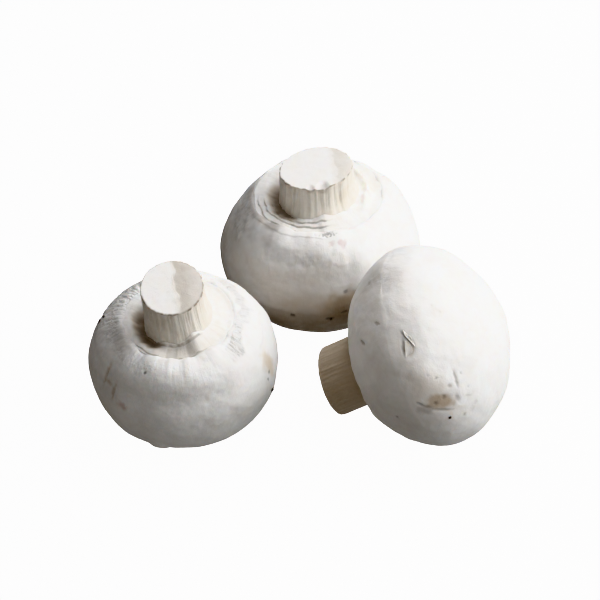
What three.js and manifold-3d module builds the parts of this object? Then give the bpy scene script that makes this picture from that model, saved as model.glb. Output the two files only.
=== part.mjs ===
// Cup mushrooms: three closed white mushrooms on a table. Two stand on their crowns with the trimmed stem
// up, and the third lies on its side, on the edge of its cap and the rim of its stem.
//
// Each mushroom is three pieces: a cap with a shallow mouth inside its lip, a stem whose foot sits in a
// socket in that mouth, and a veil, the ring of skin that closes the mouth from the lip to the stem.
//
// Millimetres, +Z up, the table at z = 0. The origin is on the table, at the middle of the group.
// A mushroom is drawn upside down, as it stands: its own z = 0 is the widest ring of its cap, the crown is
// below and the stem above.

import * as THREE from 'three';
import * as BufferGeometryUtils from 'three/addons/utils/BufferGeometryUtils.js';
import Module from 'manifold-3d';

const GAP = 0.3; // clear space between two pieces that touch
const VEIL_THICKNESS = 1.6;
const SOCKET_DEPTH = 3; // how far the stem's foot reaches below the mouth's floor
const FOOT_FLARE = 2.2; // how quickly the stem narrows above its foot
const LIP_DROP = 0.6; // share of the mouth's depth that the lip's rounded inner edge takes
const REST_FLAT = 0.35; // how much of a rounded cap is flattened where it bears on the table

const CAP_SEGMENTS = 40;
const STEM_SEGMENTS = 32;
const CROWN_STEPS = 10;
const MARGIN_STEPS = 6;
const LIP_STEPS = 2;
const FLARE_STEPS = 5;
const VEIL_STEPS = 4;

// radius: of the cap's widest ring. crown: depth below that ring. margin: height of the lip above it.
// fullness: 2 is an ellipse, more is squarer. lip and mouth: radii of the lip's ridge and of the opening.
// sunk: depth of the veil under the lip. top: height of the stem's cut end. skirt: veil's rise on the stem.
// bend: sideways shift of the stem for each mm of height. cutSlope: rise of the cut end for each mm.
// lean: tilt of the stem from upright, and heading: the way it tilts, in degrees from +X. at: on the table.
const MUSHROOMS = [
  {
    name: 'left',
    cap: { radius: 25.2, crown: 21.3, margin: 15.6, crownFullness: 2.2, marginFullness: 1.6 },
    opening: { lip: 15.1, mouth: 13.6, sunk: 2.4, skirt: 2.4 },
    stem: { topRadius: 8.1, footRadius: 9, top: 27.4, bend: [-0.05, -0.03], cutSlope: [0, 0.2] },
    lobes: [],
    lean: 7.5,
    heading: 256,
    at: [-31, -28],
  },
  {
    name: 'rear',
    cap: { radius: 28.8, crown: 18.7, margin: 19.3, crownFullness: 2.1, marginFullness: 1.45 },
    opening: { lip: 18.5, mouth: 17.3, sunk: 2.6, skirt: 3.4 },
    stem: { topRadius: 10.2, footRadius: 10.9, top: 28.9, bend: [0, 0], cutSlope: [0.08, -0.05] },
    lobes: [],
    lean: 3.4,
    heading: 212,
    at: [5.6, 22],
  },
  {
    name: 'right',
    cap: { radius: 27.1, crown: 21.1, margin: 16.9, crownFullness: 1.96, marginFullness: 1.53 },
    opening: { lip: 13.5, mouth: 12.5, sunk: 2.4, skirt: 1.4 },
    stem: { topRadius: 9.7, footRadius: 9.7, top: 29.5, bend: [-0.145, 0.043], cutSlope: [0, 0] },
    lobes: [
      { count: 2, amount: 0.012, angle: 90 },
      { count: 3, amount: 0.012, angle: 120 },
    ],
    lean: 118.1,
    heading: 170.9,
    at: [33.4, -27.05],
  },
];

const SKIN = { color: 0xf1eee8, roughness: 0.55, metalness: 0 };
const FLESH = { color: 0xe6dfd0, roughness: 0.7, metalness: 0 };
const VEIL = { color: 0xd8ccb9, roughness: 0.75, metalness: 0 };

const wasm = await Module();
wasm.setup();

// A quarter of a superellipse, from angle 0 to 90 degrees, as [across, along] shares from 0 to 1.
function quarterTurn(steps, fullness) {
  const shares = [];
  for (let i = 0; i <= steps; i += 1) {
    const angle = (i / steps) * Math.PI / 2;
    const power = 2 / fullness;
    shares.push([Math.abs(Math.sin(angle)) ** power, Math.abs(Math.cos(angle)) ** power]);
  }
  return shares;
}

// Heights that the pieces of one mushroom share.
function levelsOf({ cap, opening }) {
  const veilTop = cap.margin - opening.sunk;
  const mouthFloor = veilTop - VEIL_THICKNESS;
  return { veilTop, mouthFloor, socketFloor: mouthFloor - SOCKET_DEPTH };
}

function stemRadiusAt(mushroom, z) {
  const { stem } = mushroom;
  const { veilTop } = levelsOf(mushroom);
  const rise = THREE.MathUtils.clamp((z - veilTop) / (stem.top - veilTop), 0, 1);
  return stem.topRadius + (stem.footRadius - stem.topRadius) * (1 - rise) ** FOOT_FLARE;
}

// Crown, margin, rounded lip, mouth and stem socket, from the crown's middle round to the socket's middle.
function capProfile(mushroom) {
  const { cap, opening, stem } = mushroom;
  const { mouthFloor, socketFloor } = levelsOf(mushroom);
  const socketRadius = stem.footRadius + GAP;
  const points = [];
  for (const [across, along] of quarterTurn(CROWN_STEPS, cap.crownFullness)) {
    points.push(new THREE.Vector2(cap.radius * across, -cap.crown * along));
  }
  for (const [along, across] of quarterTurn(MARGIN_STEPS, cap.marginFullness).slice(1)) {
    points.push(new THREE.Vector2(opening.lip + (cap.radius - opening.lip) * across, cap.margin * along));
  }
  for (const [inward, level] of quarterTurn(LIP_STEPS, 2).slice(1)) {
    const drop = LIP_DROP * opening.sunk * (1 - level);
    points.push(new THREE.Vector2(opening.lip - (opening.lip - opening.mouth) * inward, cap.margin - drop));
  }
  points.push(new THREE.Vector2(opening.mouth, mouthFloor));
  points.push(new THREE.Vector2(socketRadius, mouthFloor));
  points.push(new THREE.Vector2(socketRadius, socketFloor));
  points.push(new THREE.Vector2(0, socketFloor));
  return points;
}

// A straight foot in the socket, a flare above the veil and a flat cut end.
function stemProfile(mushroom) {
  const { stem } = mushroom;
  const { veilTop, socketFloor } = levelsOf(mushroom);
  const foot = socketFloor + GAP;
  const points = [new THREE.Vector2(0, foot), new THREE.Vector2(stem.footRadius, foot)];
  for (let i = 0; i <= FLARE_STEPS; i += 1) {
    const z = THREE.MathUtils.lerp(veilTop, stem.top, i / FLARE_STEPS);
    points.push(new THREE.Vector2(stemRadiusAt(mushroom, z), z));
  }
  points.push(new THREE.Vector2(0, stem.top));
  return points;
}

// A ring that fills the mouth and sweeps up against the stem, closed on itself.
function veilProfile(mushroom) {
  const { opening, stem } = mushroom;
  const { veilTop, mouthFloor } = levelsOf(mushroom);
  const outer = opening.mouth - GAP;
  const inner = stem.footRadius + GAP;
  const bottom = mouthFloor + GAP;
  const crest = veilTop + opening.skirt;
  const crestRadius = stemRadiusAt(mushroom, crest) + GAP;
  const points = [new THREE.Vector2(outer, bottom)];
  for (const [inward, sweep] of quarterTurn(VEIL_STEPS, 2)) {
    const r = THREE.MathUtils.lerp(outer, crestRadius + GAP, inward);
    points.push(new THREE.Vector2(r, veilTop + opening.skirt * (1 - sweep)));
  }
  points.push(new THREE.Vector2(crestRadius, crest));
  points.push(new THREE.Vector2(inner, veilTop));
  points.push(new THREE.Vector2(inner, bottom));
  points.push(points[0].clone());
  return points;
}

// Spins a profile about +Z and returns a geometry with shared corners and no empty triangles.
function spin(profile, segments) {
  const lathe = new THREE.LatheGeometry(profile, segments);
  lathe.rotateX(Math.PI / 2);
  lathe.deleteAttribute('normal');
  lathe.deleteAttribute('uv');
  const merged = BufferGeometryUtils.mergeVertices(lathe, 1e-3);
  const kept = [];
  const corners = merged.index.array;
  for (let i = 0; i < corners.length; i += 3) {
    const [a, b, c] = corners.slice(i, i + 3);
    if (a !== b && b !== c && c !== a) {
      kept.push(a, b, c);
    }
  }
  merged.setIndex(kept);
  return merged;
}

// Makes a round piece the shape that it grew: lobed, and bent sideways above the mouth's floor.
function grow(geometry, mushroom) {
  const { lobes, stem } = mushroom;
  const { socketFloor } = levelsOf(mushroom);
  const point = new THREE.Vector3();
  const places = geometry.attributes.position;
  for (let i = 0; i < places.count; i += 1) {
    point.fromBufferAttribute(places, i);
    const angle = Math.atan2(point.y, point.x);
    let widen = 1;
    for (const lobe of lobes) {
      widen += lobe.amount * Math.cos(lobe.count * (angle - THREE.MathUtils.degToRad(lobe.angle)));
    }
    const rise = Math.max(0, point.z - socketFloor);
    places.setXYZ(i, point.x * widen + stem.bend[0] * rise, point.y * widen + stem.bend[1] * rise, point.z);
  }
  return geometry;
}

// Tilts the stem's cut end, which is every corner at the stem's full height.
function slopeCut(geometry, { stem }) {
  const places = geometry.attributes.position;
  for (let i = 0; i < places.count; i += 1) {
    if (places.getZ(i) > stem.top - GAP) {
      const slope = stem.cutSlope[0] * places.getX(i) + stem.cutSlope[1] * places.getY(i);
      places.setZ(i, places.getZ(i) + slope);
    }
  }
  return geometry;
}

function toSolid(geometry) {
  const vertProperties = new Float32Array(geometry.attributes.position.array);
  const triVerts = new Uint32Array(geometry.index.array);
  return new wasm.Manifold(new wasm.Mesh({ numProp: 3, vertProperties, triVerts }));
}

function toGeometry(solid) {
  const mesh = solid.getMesh();
  const geometry = new THREE.BufferGeometry();
  geometry.setAttribute('position', new THREE.BufferAttribute(mesh.vertProperties, 3));
  geometry.setIndex(new THREE.BufferAttribute(mesh.triVerts, 1));
  geometry.computeVertexNormals();
  return geometry;
}

// The block under the table, in the frame of something placed by the given matrix.
function tableUnder(placement) {
  const size = 300;
  const block = new THREE.BoxGeometry(size, size, size);
  block.translate(0, 0, -size / 2);
  block.applyMatrix4(placement.clone().invert());
  block.deleteAttribute('normal');
  block.deleteAttribute('uv');
  return toSolid(BufferGeometryUtils.mergeVertices(block));
}

function lowestPoint(geometry, turn) {
  const point = new THREE.Vector3();
  const places = geometry.attributes.position;
  let lowest = Infinity;
  for (let i = 0; i < places.count; i += 1) {
    lowest = Math.min(lowest, point.fromBufferAttribute(places, i).applyQuaternion(turn).z);
  }
  return lowest;
}

function makePiece(name, geometry, table, finish) {
  const solid = toSolid(geometry).subtract(table);
  const piece = new THREE.Mesh(toGeometry(solid), new THREE.MeshStandardMaterial(finish));
  piece.name = name;
  return piece;
}

function makeMushroom(mushroom) {
  const heading = THREE.MathUtils.degToRad(mushroom.heading);
  const hinge = new THREE.Vector3(-Math.sin(heading), Math.cos(heading), 0);
  const capShape = grow(spin(capProfile(mushroom), CAP_SEGMENTS), mushroom);
  const stemShape = grow(slopeCut(spin(stemProfile(mushroom), STEM_SEGMENTS), mushroom), mushroom);
  const veilShape = grow(spin(veilProfile(mushroom), STEM_SEGMENTS), mushroom);

  const group = new THREE.Group();
  group.quaternion.setFromAxisAngle(hinge, THREE.MathUtils.degToRad(mushroom.lean));
  const height = -lowestPoint(capShape, group.quaternion) - REST_FLAT;
  group.position.set(mushroom.at[0], mushroom.at[1], height);
  group.updateMatrix();

  const table = tableUnder(group.matrix);
  group.add(makePiece(`${mushroom.name}_cap`, capShape, table, SKIN));
  group.add(makePiece(`${mushroom.name}_stem`, stemShape, table, FLESH));
  group.add(makePiece(`${mushroom.name}_veil`, veilShape, table, VEIL));
  return group;
}

const mushrooms = new THREE.Group();
for (const mushroom of MUSHROOMS) {
  mushrooms.add(makeMushroom(mushroom));
}
const outline = new THREE.Box3().setFromObject(mushrooms, true);
const middle = outline.getCenter(new THREE.Vector3());
mushrooms.position.set(-middle.x, -middle.y, 0);

export default mushrooms;
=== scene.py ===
"""Cup mushrooms: the looks of three closed white mushrooms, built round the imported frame.

Each mushroom is drawn in millimetres in a frame of its own, upside down as it stands: z = 0 is the widest
ring of its cap, the crown is below and the stem above. A place on a cap is a turn, in degrees round the
stem, and a reach: 0 is the middle of the crown, 1 the widest ring and 2 the ridge of the lip.
"""
from __future__ import annotations

import itertools
import logging
import math
from dataclasses import dataclass, field
from enum import Enum
from typing import Dict, Sequence, Tuple, Union

import bmesh
import bpy
import numpy as np
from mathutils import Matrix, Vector


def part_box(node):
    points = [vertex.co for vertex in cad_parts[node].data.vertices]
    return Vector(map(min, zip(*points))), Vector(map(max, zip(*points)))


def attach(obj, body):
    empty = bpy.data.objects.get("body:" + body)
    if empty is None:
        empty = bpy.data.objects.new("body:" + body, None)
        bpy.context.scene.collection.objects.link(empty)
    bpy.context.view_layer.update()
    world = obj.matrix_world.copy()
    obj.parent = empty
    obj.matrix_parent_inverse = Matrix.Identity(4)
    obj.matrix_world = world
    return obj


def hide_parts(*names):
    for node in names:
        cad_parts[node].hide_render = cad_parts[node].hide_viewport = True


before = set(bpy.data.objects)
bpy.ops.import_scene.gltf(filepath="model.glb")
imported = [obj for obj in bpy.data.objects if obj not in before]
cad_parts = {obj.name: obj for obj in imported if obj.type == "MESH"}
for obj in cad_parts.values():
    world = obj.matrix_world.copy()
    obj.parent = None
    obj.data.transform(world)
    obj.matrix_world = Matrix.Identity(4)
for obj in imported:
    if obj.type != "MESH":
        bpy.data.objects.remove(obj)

LOG = logging.getLogger("cup_mushrooms")
MM = 0.001
TURN = 2 * math.pi
BODY = "root"

COLUMNS = 420
STEM_COLUMNS = 260
CROWN_RINGS = 96
MARGIN_RINGS = 84
LIP_RINGS = 12
FLANK_RINGS = 96
FACE_RINGS = 44
VEIL_RINGS = 56
MOUTH_RINGS = 12
WALL_RINGS = 8

LIP_DROP = 0.6
FOOT_FLARE = 2.2
VEIL_THICKNESS = 1.6
SOCKET_DEPTH = 3.0
MOUTH_DEPTH = 7.0
FOOT_DEPTH = 1.0
VEIL_TUCK = 0.75
VEIL_OVERLAP = 1.2
VEIL_FLOOR = 0.2
TABLE_GAP = 0.00005
SHORTEST = 1e-9

Colour = Tuple[float, float, float]
Feed = Union["Signal", float, Tuple[float, ...]]


# --- Numbers ---


def ease(low: float, high: float, value: np.ndarray) -> np.ndarray:
    """Rises smoothly from 0 to 1.

    Args:
        low: value where the rise starts; it may be the larger one, for a fall.
        high: value where the rise ends.
        value: the values to map.

    Returns:
        Shares from 0 to 1, in the shape of value.
    """
    share = np.clip((value - low) / (high - low), 0.0, 1.0)
    return share * share * (3.0 - 2.0 * share)


def window(turns: np.ndarray, middle: float, half_width: float, soft: float) -> np.ndarray:
    """Picks the stretch round the stem that is near one direction.

    Args:
        turns: directions round the stem, in radians.
        middle: the stretch's middle, in degrees.
        half_width: from its middle to where it starts to fade, in degrees.
        soft: how far it takes to fade out, in degrees.

    Returns:
        1 inside the stretch, 0 far from it.
    """
    away = np.degrees(np.abs(np.angle(np.exp(1j * (turns - math.radians(middle))))))
    return ease(half_width + soft, half_width, away)


def unit(vectors: np.ndarray) -> np.ndarray:
    """Scales vectors to length 1.

    Args:
        vectors: vectors, with their parts on the last axis.

    Returns:
        The same directions, with a length of 1.
    """
    return vectors / np.maximum(np.linalg.norm(vectors, axis=-1, keepdims=True), SHORTEST)


class GradientNoise:
    """Smooth seeded noise in space, from about -1 to 1.

    A number added to the places reads another part of it, so that two uses don't repeat each other.
    """

    CELLS = 256
    GAIN = 1.7

    def __init__(self, seed: int) -> None:
        """Draws the noise's table.

        Args:
            seed: what makes this noise differ from another.
        """
        draw = np.random.default_rng(seed)
        self.order = np.tile(draw.permutation(self.CELLS), 2)
        self.slopes = unit(draw.normal(size=(self.CELLS, 3)))

    def at(self, points: np.ndarray) -> np.ndarray:
        """Reads the noise.

        Args:
            points: places, with x, y and z on the last axis; the noise's grain is about 1.

        Returns:
            One value for each place.
        """
        cell = np.floor(points).astype(int)
        inside = points - cell
        fade = inside ** 3 * (inside * (inside * 6 - 15) + 10)
        cell %= self.CELLS
        total = np.zeros(points.shape[:-1])
        for corner in itertools.product((0, 1), repeat=3):
            x, y, z = (cell[..., axis] + corner[axis] for axis in range(3))
            slope = self.slopes[self.order[self.order[self.order[x] + y] + z]]
            share = np.prod(np.where(corner, fade, 1 - fade), axis=-1)
            total += share * ((inside - corner) * slope).sum(-1)
        return total * self.GAIN

    def layers(self, points: np.ndarray, count: int, gain: float = 0.5) -> np.ndarray:
        """Adds finer and weaker layers of the noise.

        Args:
            points: places, as for at().
            count: how many layers, each twice as fine as the last.
            gain: how strong each layer is beside the last.

        Returns:
            One value for each place.
        """
        total = np.zeros(points.shape[:-1])
        for layer in range(count):
            total += gain ** layer * self.at(points * 2 ** layer + 17.3 * layer)
        return total


# --- Shader maths ---


class Signal:
    """One output of a shader node. Arithmetic on it adds Math nodes."""

    def __init__(self, board: "NodeBoard", socket: bpy.types.NodeSocket) -> None:
        """Wraps a socket.

        Args:
            board: the node tree that the socket is in.
            socket: the output socket.
        """
        self.board = board
        self.socket = socket

    def _math(self, operation: str, *values: Feed, clamp: bool = False) -> "Signal":
        """Adds one Math node.

        Args:
            operation: the node's operation.
            *values: what its sockets take.
            clamp: whether the result is held between 0 and 1.

        Returns:
            The node's value.
        """
        settings = {"operation": operation, "use_clamp": clamp}
        return self.board.node("ShaderNodeMath", settings, dict(enumerate(values)))

    def __add__(self, other: Feed) -> "Signal":
        """Adds a value."""
        return self._math("ADD", self, other)

    def __radd__(self, other: Feed) -> "Signal":
        """Adds to a value."""
        return self._math("ADD", other, self)

    def __sub__(self, other: Feed) -> "Signal":
        """Takes a value away."""
        return self._math("SUBTRACT", self, other)

    def __rsub__(self, other: Feed) -> "Signal":
        """Takes this from a value."""
        return self._math("SUBTRACT", other, self)

    def __mul__(self, other: Feed) -> "Signal":
        """Multiplies by a value."""
        return self._math("MULTIPLY", self, other)

    def __rmul__(self, other: Feed) -> "Signal":
        """Multiplies a value."""
        return self._math("MULTIPLY", other, self)

    def held(self) -> "Signal":
        """Holds the value between 0 and 1."""
        return self._math("ADD", self, 0.0, clamp=True)

    def eased(self, low: float, high: float) -> "Signal":
        """Rises smoothly from 0 to 1 between two values.

        Args:
            low: where the rise starts.
            high: where it ends.

        Returns:
            The share.
        """
        settings = {"interpolation_type": "SMOOTHSTEP"}
        values = {"Value": self, "From Min": low, "From Max": high}
        return self.board.node("ShaderNodeMapRange", settings, values)

    def stretched(self, across: float, around: float, along: float) -> "Signal":
        """Scales a vector by a different number along each axis.

        Args:
            across: scale of the first part.
            around: scale of the second part.
            along: scale of the third part.

        Returns:
            The scaled vector.
        """
        values = {0: self, 1: (across, around, along)}
        return self.board.node("ShaderNodeVectorMath", {"operation": "MULTIPLY"}, values)


class NodeBoard:
    """A node tree that is filled by expressions."""

    MIX_FACTOR, MIX_A, MIX_B, MIX_RESULT = 0, 6, 7, 2

    def __init__(self, tree: bpy.types.NodeTree) -> None:
        """Empties a tree.

        Args:
            tree: the node tree to fill.
        """
        self.tree = tree
        tree.nodes.clear()

    def node(
        self,
        kind: str,
        settings: Dict[str, object],
        values: Dict[Union[int, str], Feed],
        output: Union[int, str] = 0,
    ) -> Signal:
        """Adds a node.

        Args:
            kind: the node's type.
            settings: the node's own properties, set first.
            values: what its sockets take, by name or number: numbers, tuples or other signals.
            output: the output to hand on, by name or number.

        Returns:
            That output.
        """
        made = self.tree.nodes.new(kind)
        for name, value in settings.items():
            setattr(made, name, value)
        for name, value in values.items():
            self.feed(made.inputs[name], value)
        return Signal(self, made.outputs[output])

    def feed(self, socket: bpy.types.NodeSocket, value: Feed) -> None:
        """Links a signal to a socket, or sets the socket's own value.

        Args:
            socket: the input socket.
            value: a signal, a number or a tuple.
        """
        if isinstance(value, Signal):
            self.tree.links.new(value.socket, socket)
        else:
            socket.default_value = value

    def close(self, shader: Signal) -> None:
        """Ends the tree in a material's output.

        Args:
            shader: the shader that makes the surface.
        """
        ending = self.tree.nodes.new("ShaderNodeOutputMaterial")
        self.feed(ending.inputs["Surface"], shader)

    def mix(self, first: Feed, second: Feed, share: Feed) -> Signal:
        """Blends two colours.

        Args:
            first: the colour where the share is 0.
            second: the colour where the share is 1.
            share: how much of the second.

        Returns:
            The blended colour.
        """
        pair = [(*c, 1.0) if isinstance(c, tuple) and len(c) == 3 else c for c in (first, second)]
        values = {self.MIX_FACTOR: share, self.MIX_A: pair[0], self.MIX_B: pair[1]}
        return self.node("ShaderNodeMix", {"data_type": "RGBA"}, values, self.MIX_RESULT)

    def trait(self, name: str, output: str = "Fac") -> Signal:
        """Reads what the mesh says about itself at each point.

        Args:
            name: the mesh attribute.
            output: "Fac" for a number, "Color", "Vector" or "Alpha".

        Returns:
            The attribute's value.
        """
        return self.node("ShaderNodeAttribute", {"attribute_name": name}, {}, output)

    def noise(self, where: Signal, scale: float, detail: float = 3.0, rough: float = 0.5) -> Signal:
        """Adds a noise texture.

        Args:
            where: the coordinates to read it at.
            scale: how fine it is.
            detail: how many finer layers it has.
            rough: how strong the finer layers are.

        Returns:
            Values from 0 to 1.
        """
        values = {"Vector": where, "Scale": scale, "Detail": detail, "Roughness": rough}
        return self.node("ShaderNodeTexNoise", {}, values)


# --- Finishes ---


def new_material(name: str) -> Tuple[bpy.types.Material, NodeBoard]:
    """Starts a material.

    Args:
        name: its name.

    Returns:
        The material and its empty node tree.
    """
    material = bpy.data.materials.new(name)
    material.use_nodes = True
    return material, NodeBoard(material.node_tree)


@dataclass(frozen=True)
class Bump:
    """Fine relief that the mesh doesn't hold: how strong each kind is, and its depth in metres."""

    fibre: float
    pore: float
    wrinkle: float
    depth: float = 0.00025


@dataclass(frozen=True)
class FleshFinish:
    """The skin or flesh of a mushroom: matte, silky, slightly translucent, and marked where the mesh says so.

    The mesh's traits are grain, coordinates that run round and along the fibres in millimetres; paint, the
    colour and strength of its marks; shag, how flaky it is; cut, where a knife has been; and silk, how
    combed its fibres are. The grains are scales per millimetre, the other noises' scales per metre.
    """

    name: str
    light: Colour
    dark: Colour
    flake: Colour
    cut: Colour
    bump: Bump
    fibre_tone: float
    roughness: float
    glow: float = 0.35
    glow_depth: float = 0.0011
    glow_radius: Colour = (1.0, 0.72, 0.5)

    FIBRE_GRAIN = (1.9, 1.9, 0.16)
    SILK_GRAIN = (5.5, 5.5, 0.5)
    FLAKE_GRAIN = (1.1, 1.1, 0.5)
    CLOUDS, MOTTLE, PORES = 90.0, 420.0, 2600.0

    def make(self) -> bpy.types.Material:
        """Makes the material.

        Returns:
            The material.
        """
        material, board = new_material(self.name)
        grain = board.trait("grain", "Vector")
        place = board.node("ShaderNodeTexCoord", {}, {}, "Object")
        fibres = board.noise(grain.stretched(*self.FIBRE_GRAIN), 1.0, 4.0, 0.6)
        silk = board.noise(grain.stretched(*self.SILK_GRAIN), 1.0, 3.0, 0.6)
        clouds = board.noise(place, self.CLOUDS, 3.0)
        mottle = board.noise(place, self.MOTTLE, 4.0, 0.6)
        pores = board.noise(place, self.PORES, 2.0)
        flakes = board.noise(grain.stretched(*self.FLAKE_GRAIN), 1.0, 5.0, 0.65)
        shag = board.trait("shag")
        cut = board.trait("cut")

        combed = board.trait("silk")
        streak = (fibres - 0.5) * combed * self.fibre_tone * (1 - cut * 0.8)
        tone = (clouds.eased(0.35, 0.75) * 0.5 + mottle.eased(0.4, 0.7) * 0.25 + streak).held()
        colour = board.mix(self.light, self.dark, tone)
        colour = board.mix(colour, self.cut, cut)
        colour = board.mix(colour, self.flake, shag * flakes.eased(0.47, 0.62) * 0.75)
        paint = board.trait("paint", "Color")
        colour = board.mix(colour, paint, board.trait("paint", "Alpha") * (0.8 + 0.4 * silk).held())

        relief = (fibres + silk * 0.5) * combed * self.bump.fibre + pores * self.bump.pore
        relief = relief + mottle * self.bump.wrinkle * (1 - cut * 0.7)
        relief = relief + flakes.eased(0.45, 0.6) * shag * 0.9
        normal = board.node(
            "ShaderNodeBump", {}, {"Strength": 0.55, "Distance": self.bump.depth, "Height": relief}
        )
        rough = (self.roughness + (silk - 0.5) * 0.16 - cut * 0.08).held()
        shader = board.node(
            "ShaderNodeBsdfPrincipled",
            {"subsurface_method": "RANDOM_WALK"},
            {
                "Base Color": colour,
                "Roughness": rough,
                "Normal": normal,
                "Subsurface Weight": self.glow,
                "Subsurface Radius": self.glow_radius,
                "Subsurface Scale": self.glow_depth,
                "Specular IOR Level": 0.32,
                "Sheen Weight": 0.12,
                "Sheen Roughness": 0.6,
            },
        )
        board.close(shader)
        return material


@dataclass(frozen=True)
class PeatFinish:
    """Crumbs of dark growing soil: rough, with paler fibres."""

    name: str = "peat"
    dark: Colour = (0.012, 0.009, 0.007)
    light: Colour = (0.09, 0.06, 0.035)
    roughness: float = 0.9

    def make(self) -> bpy.types.Material:
        """Makes the material.

        Returns:
            The material.
        """
        material, board = new_material(self.name)
        place = board.node("ShaderNodeTexCoord", {}, {}, "Object")
        grit = board.noise(place, 3500.0, 4.0)
        colour = board.mix(self.dark, self.light, grit.eased(0.42, 0.7))
        normal = board.node("ShaderNodeBump", {}, {"Strength": 0.8, "Distance": 0.0002, "Height": grit})
        values = {"Base Color": colour, "Roughness": self.roughness, "Normal": normal}
        board.close(board.node("ShaderNodeBsdfPrincipled", {}, values))
        return material


@dataclass(frozen=True)
class TableFinish:
    """A plain pale table top."""

    name: str = "table"
    colour: Colour = (0.8, 0.8, 0.8)
    lift: float = 3.0

    def make(self) -> bpy.types.Material:
        """Makes the material.

        Returns:
            The material.
        """
        material, board = new_material(self.name)
        values = {
            "Base Color": (*self.colour, 1.0),
            "Roughness": 0.9,
            "Specular IOR Level": 0.1,
            "Emission Color": (1.0, 1.0, 1.0, 1.0),
            "Emission Strength": self.lift,
        }
        board.close(board.node("ShaderNodeBsdfPrincipled", {}, values))
        return material


SKIN = FleshFinish(
    name="cap_skin",
    light=(0.865, 0.86, 0.85),
    dark=(0.74, 0.72, 0.695),
    flake=(0.42, 0.405, 0.40),
    cut=(0.8, 0.76, 0.7),
    bump=Bump(fibre=0.2, pore=0.12, wrinkle=0.6),
    fibre_tone=0.22,
    roughness=0.6,
)
STEM_FLESH = FleshFinish(
    name="stem_flesh",
    light=(0.80, 0.765, 0.70),
    dark=(0.60, 0.54, 0.45),
    flake=(0.45, 0.38, 0.3),
    cut=(0.86, 0.84, 0.815),
    bump=Bump(fibre=0.28, pore=0.15, wrinkle=0.4),
    fibre_tone=0.32,
    roughness=0.62,
)
VEIL_SKIN = FleshFinish(
    name="veil_skin",
    light=(0.86, 0.852, 0.835),
    dark=(0.72, 0.68, 0.62),
    flake=(0.40, 0.34, 0.27),
    cut=(0.8, 0.76, 0.7),
    bump=Bump(fibre=0.35, pore=0.2, wrinkle=0.6),
    fibre_tone=0.28,
    roughness=0.68,
)


# --- Marks ---


class Tone(Enum):
    """The colours of marks, as linear red, green and blue."""

    # real bruises and browning, and also painted shade in hollows and on the underside
    BRUISE_AND_SHADE = (0.15, 0.105, 0.065)
    TAN = (0.42, 0.32, 0.215)
    HONEY = (0.56, 0.40, 0.21)
    ROSE = (0.55, 0.40, 0.38)
    GREY = (0.40, 0.385, 0.375)
    # real soil specks, and also painted shadow lines under the torn flaps
    SOIL_AND_SHADOW = (0.035, 0.025, 0.018)
    PALE = (0.88, 0.85, 0.81)
    # painted shadow at the foot of a step in the veil
    STEP_SHADOW = (0.10, 0.06, 0.035)
    MOSS = (0.16, 0.14, 0.05)
    CREAM = (0.52, 0.47, 0.40)


@dataclass(frozen=True)
class Mark:
    """A spot on a mushroom: a bruise, a stain, a dent, a speck, a bump, or a patch of painted shade or
    shadow.

    wide and long are half sizes in millimetres, round the stem and along the fibres. depth is how far it is
    sunk, in millimetres, and below 0 it stands out. soft is how gradual its edge is, ragged how uneven.
    """

    turn: float
    reach: float
    wide: float
    long: float
    tone: Tone = Tone.BRUISE_AND_SHADE
    strength: float = 0.0
    depth: float = 0.0
    soft: float = 0.7
    ragged: float = 0.3
    twist: float = 0.0
    shag: float = 0.0


@dataclass(frozen=True)
class Tear:
    """The edge of a torn skin: it stands up along a line round the stem and fades out beyond it.

    middle and half are degrees round the stem, height is in millimetres, and wander is how far the line
    strays, in reach.
    """

    middle: float
    half: float
    reach: float
    height: float
    wander: float = 0.05
    fade: float = 0.35
    inner_grey: float = 0.0


@dataclass(frozen=True)
class Stain:
    """A broad tint of part of a ring round the stem, with soft wandering edges: a real stain, or painted
    shade or light.

    middle and half are degrees round the stem; low and high are the reach where it is full.
    """

    middle: float
    half: float
    low: float
    high: float
    tone: Tone
    strength: float
    shag: float = 0.0
    fade: float = 0.18
    side_fade: float = 30.0


@dataclass(frozen=True)
class Crumb:
    """A crumb of soil on a cap: where it clings, and its size in millimetres."""

    turn: float
    reach: float
    size: float


# --- Round shapes ---


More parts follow.
